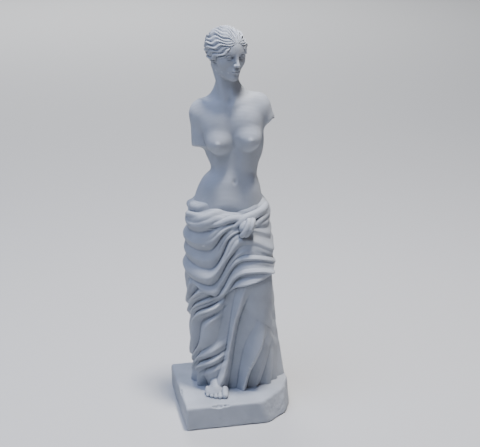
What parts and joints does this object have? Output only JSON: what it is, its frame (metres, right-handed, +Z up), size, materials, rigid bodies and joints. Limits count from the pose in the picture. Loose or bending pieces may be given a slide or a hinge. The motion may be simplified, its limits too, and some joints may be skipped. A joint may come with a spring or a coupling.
{
  "type": "classical standing female figurine",
  "caption": "Standing half-draped female figure in the classical manner, with lost arms, on a low rough-cut plinth; a desktop ornament printed in one piece.",
  "frame": {"origin": "middle of the plinth's underside, which is also the bottom centre of the bounding box", "axes": "+Z up along the figure's height, +X towards the figure's own left (the viewer's right from in front), -Y towards the front"},
  "size_m": [0.088, 0.08, 0.2996],
  "materials": {
    "printed_plastic": "matte pale blue-grey filament with faint level print layers"
  },
  "bodies": {
    "root": {"figurine": "printed_plastic"}
  },
  "joints": []
}
